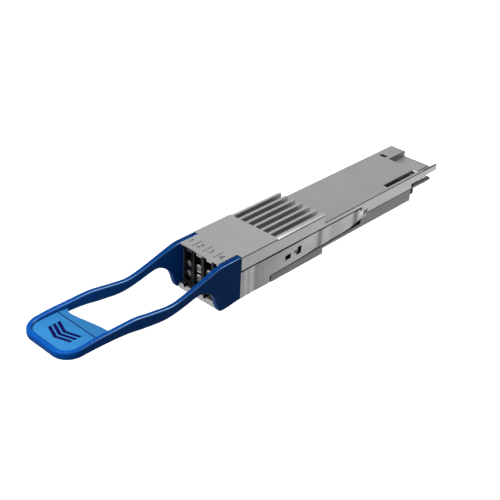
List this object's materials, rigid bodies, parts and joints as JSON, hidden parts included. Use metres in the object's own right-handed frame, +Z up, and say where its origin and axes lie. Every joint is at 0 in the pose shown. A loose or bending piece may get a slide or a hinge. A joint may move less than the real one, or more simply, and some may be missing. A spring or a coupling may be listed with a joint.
{
  "type": "optical transceiver module",
  "caption": "Slim metal pluggable optical module with a finned nose, upright duplex fibre ports, a rear card edge and a blue loop pull tab that draws back the side latch strap.",
  "frame": {"origin": "centre of the bounding box's bottom, under the nose's front lip level", "axes": "+X towards the electrical card edge, the pull tab at -X, +Z up, Y across the module"},
  "size_m": [0.1494, 0.0184, 0.014],
  "materials": {
    "die_cast_metal": "satin nickel-plated die casting",
    "heat_sink_metal": "satin plated, finned",
    "spring_steel": "brushed stainless sheet",
    "spring_wire": "bright drawn wire",
    "blue_plastic": "smooth blue moulded thermoplastic",
    "black_plastic": "matte black moulded",
    "barrel_metal": "polished tube",
    "ceramic": "ground zirconia",
    "fibre": "coated glass fibre",
    "glass_block": "polished glass",
    "silicon": "dark polished die",
    "board": "green solder mask",
    "gold": "gold plated contact",
    "package": "moulded epoxy",
    "lid_metal": "nickel plated lid",
    "thermal_pad": "soft gap filler",
    "ferrite": "pressed ferrite",
    "ceramic_chip": "sintered ceramic with tinned ends",
    "conductive_foam": "black conductive foam",
    "screw_steel": "zinc plated",
    "label_film": "blank matte film"
  },
  "bodies": {
    "housing": {"upper_housing": "die_cast_metal", "lower_housing": "die_cast_metal", "nose_heat_sink": "heat_sink_metal", "return_spring_left": "spring_wire", "return_spring_right": "spring_wire", "port_adapter": "black_plastic", "sleeve_barrels": "barrel_metal", "ferrule_sleeves": "ceramic", "ferrule_stubs": "ceramic", "adapter_retainer": "black_plastic", "optical_fibres": "fibre", "fibre_array": "glass_block", "photonic_engine": "silicon", "engine_lid": "lid_metal", "laser_chips": "silicon", "driver_chip": "silicon", "engine_thermal_pad": "thermal_pad", "circuit_board": "board", "contact_pads_top": "gold", "contact_pads_bottom": "gold", "dsp_package": "package", "dsp_lid": "lid_metal", "dsp_thermal_pad": "thermal_pad", "microcontroller": "package", "clock_oscillator": "lid_metal", "memory_chip": "package", "power_inductors": "ferrite", "voltage_regulators": "package", "decoupling_capacitors": "ceramic_chip", "coupling_capacitors": "ceramic_chip", "card_seal_upper": "conductive_foam", "card_seal_lower": "conductive_foam", "seam_gaskets": "conductive_foam", "housing_screws": "screw_steel", "blank_label": "label_film"},
    "latch": {"pull_tab": "blue_plastic", "latch_slider": "spring_steel"}
  },
  "joints": [
    {"name": "tab_pull", "type": "slide", "parent": "housing", "child": "latch", "axis": [-1, 0, 0], "range_m": [0, 0.0015], "stiffness_N_per_m": 2000, "springref_m": -0.0015, "deforming": ["return_spring_left", "return_spring_right"]}
  ]
}
